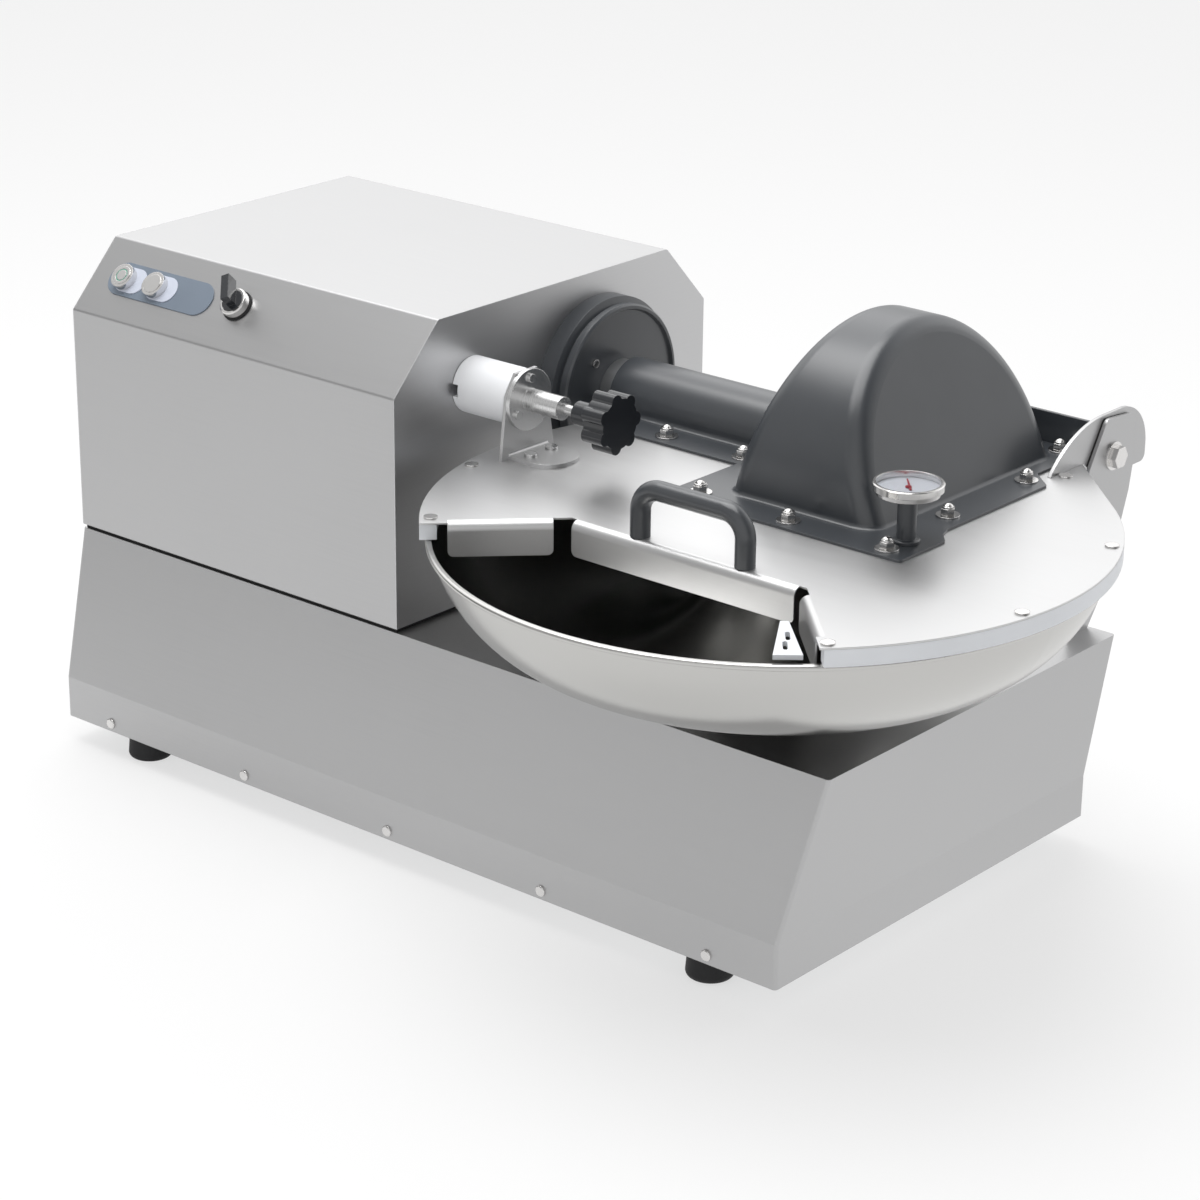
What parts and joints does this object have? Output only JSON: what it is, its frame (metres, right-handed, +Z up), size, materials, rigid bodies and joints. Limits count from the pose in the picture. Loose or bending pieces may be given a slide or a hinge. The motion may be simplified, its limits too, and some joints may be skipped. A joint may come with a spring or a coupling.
{
  "type": "meat bowl cutter",
  "caption": "Bench bowl cutter: belt-driven sickle knives turn inside a rotating dished bowl under a hinged lid with a moulded knife cover, beside a sheet steel motor housing.",
  "frame": {"origin": "on the floor, under the middle of the whole machine's box", "axes": "+X from the motor housing to the bowl, +Y from the loading side to the hinge, +Z up"},
  "size_m": [1.192, 0.7878, 0.5937],
  "materials": {
    "stainless_casing": "brushed",
    "stainless_bowl": "polished spun",
    "zinc_steel": "zinc plated",
    "stainless_fastener": "polished",
    "shaft_steel": "ground",
    "blade_steel": "ground",
    "bearing_steel": "ground",
    "black_rubber": "matt",
    "belt_rubber": "matt",
    "panel_grey": "satin",
    "legend_pale": "satin",
    "chrome_control": "polished",
    "green_lit_chrome": "polished",
    "black_control": "semi-gloss",
    "black_moulding": "satin",
    "white_plastic": "smooth",
    "milky_nylon": "smooth",
    "bright_aluminium": "turned",
    "motor_paint": "semi-gloss",
    "cast_iron": "machined",
    "dial_case": "satin",
    "dial_white": "printed",
    "needle_red": "satin",
    "clear_lens": "clear"
  },
  "bodies": {
    "frame": {"base_shell": "stainless_casing", "floor_plate": "zinc_steel", "rubber_feet": "black_rubber", "skirt_screws": "stainless_fastener", "motor_housing": "stainless_casing", "housing_ends": "stainless_casing", "housing_seal": "black_rubber", "control_plate": "panel_grey", "legend_plates": "legend_pale", "button_bezels": "chrome_control", "selector_gasket": "black_rubber", "selector_ring": "chrome_control", "contact_blocks": "black_control", "shaft_drum": "black_moulding", "drum_screws": "stainless_fastener", "bearing_tube": "zinc_steel", "shaft_bearings": "bearing_steel", "shaft_support": "zinc_steel", "main_motor": "motor_paint", "drive_belt": "belt_rubber", "bowl_gearmotor": "motor_paint", "spindle_column": "cast_iron", "hinge_brackets": "stainless_casing", "hinge_bolts": "stainless_fastener", "cable_gland": "black_moulding"},
    "start_cap": {"start_button": "green_lit_chrome"},
    "stop_cap": {"stop_button": "chrome_control"},
    "selector": {"selector_knob": "black_control"},
    "knife_rotor": {"knife_shaft": "shaft_steel", "knives": "blade_steel", "knife_spacers": "shaft_steel", "knife_nut": "shaft_steel", "shaft_pulley": "cast_iron"},
    "motor_shaft": {"motor_rotor": "zinc_steel", "motor_pulley": "cast_iron"},
    "bowl_turning": {"bowl": "stainless_bowl", "bowl_spindle": "zinc_steel", "bowl_nut": "stainless_fastener"},
    "lid": {"lid_plate": "stainless_casing", "lid_ring": "white_plastic", "lid_screws": "stainless_fastener", "lid_handle": "black_moulding", "bowl_scraper": "white_plastic", "knife_cover": "black_moulding", "cover_washers": "stainless_fastener", "cover_nuts": "stainless_fastener", "thermometer_stem": "black_moulding", "thermometer_case": "dial_case", "thermometer_dial": "dial_white", "thermometer_lens": "clear_lens", "interlock_drum": "milky_nylon", "interlock_bracket": "stainless_casing", "interlock_flange": "bright_aluminium", "interlock_screws": "stainless_fastener", "hinge_arms": "stainless_casing", "hinge_crossbar": "black_moulding"},
    "needle": {"thermometer_needle": "needle_red"},
    "lock_pull": {"lock_rod": "shaft_steel", "lock_knob": "black_control"}
  },
  "joints": [
    {"name": "bowl_spin", "type": "hinge", "parent": "frame", "child": "bowl_turning", "pos_m": [0.258, -0.06155, 0.34775], "axis": [0, 0, 1], "continuous": true},
    {"name": "knife_spin", "type": "hinge", "parent": "frame", "child": "knife_rotor", "pos_m": [0.258, 0.12127, 0.44075], "axis": [1, 0, 0], "continuous": true},
    {"name": "motor_spin", "type": "hinge", "parent": "frame", "child": "motor_shaft", "pos_m": [-0.532, 0.09127, 0.1325], "axis": [1, 0, 0], "continuous": true},
    {"name": "lid_hinge", "type": "hinge", "parent": "frame", "child": "lid", "pos_m": [0.258, 0.32345, 0.42495], "axis": [-1, 0, 0], "range_deg": [0, 80]},
    {"name": "needle_turn", "type": "hinge", "parent": "lid", "child": "needle", "pos_m": [0.4, -0.03655, 0.48295], "axis": [0, 0, 1], "range_deg": [-150, 90]},
    {"name": "lock_slide", "type": "slide", "parent": "lid", "child": "lock_pull", "axis": [1, 0, 0], "range_m": [0, 0.012], "stiffness_N_per_m": 400, "springref_m": -0.005},
    {"name": "start_press", "type": "slide", "parent": "frame", "child": "start_cap", "axis": [0, 0.7242, -0.6896], "range_m": [0, 0.003], "stiffness_N_per_m": 800, "springref_m": -0.001},
    {"name": "stop_press", "type": "slide", "parent": "frame", "child": "stop_cap", "axis": [0, 0.7242, -0.6896], "range_m": [0, 0.003], "stiffness_N_per_m": 800, "springref_m": -0.001},
    {"name": "selector_turn", "type": "hinge", "parent": "frame", "child": "selector", "pos_m": [-0.377, -0.16259, 0.54111], "axis": [0, -0.7242, 0.6896], "range_deg": [-90, 0]}
  ],
  "couplings": [
    {"joint": "motor_spin", "follows": "knife_spin", "ratio": 0.85714}
  ]
}
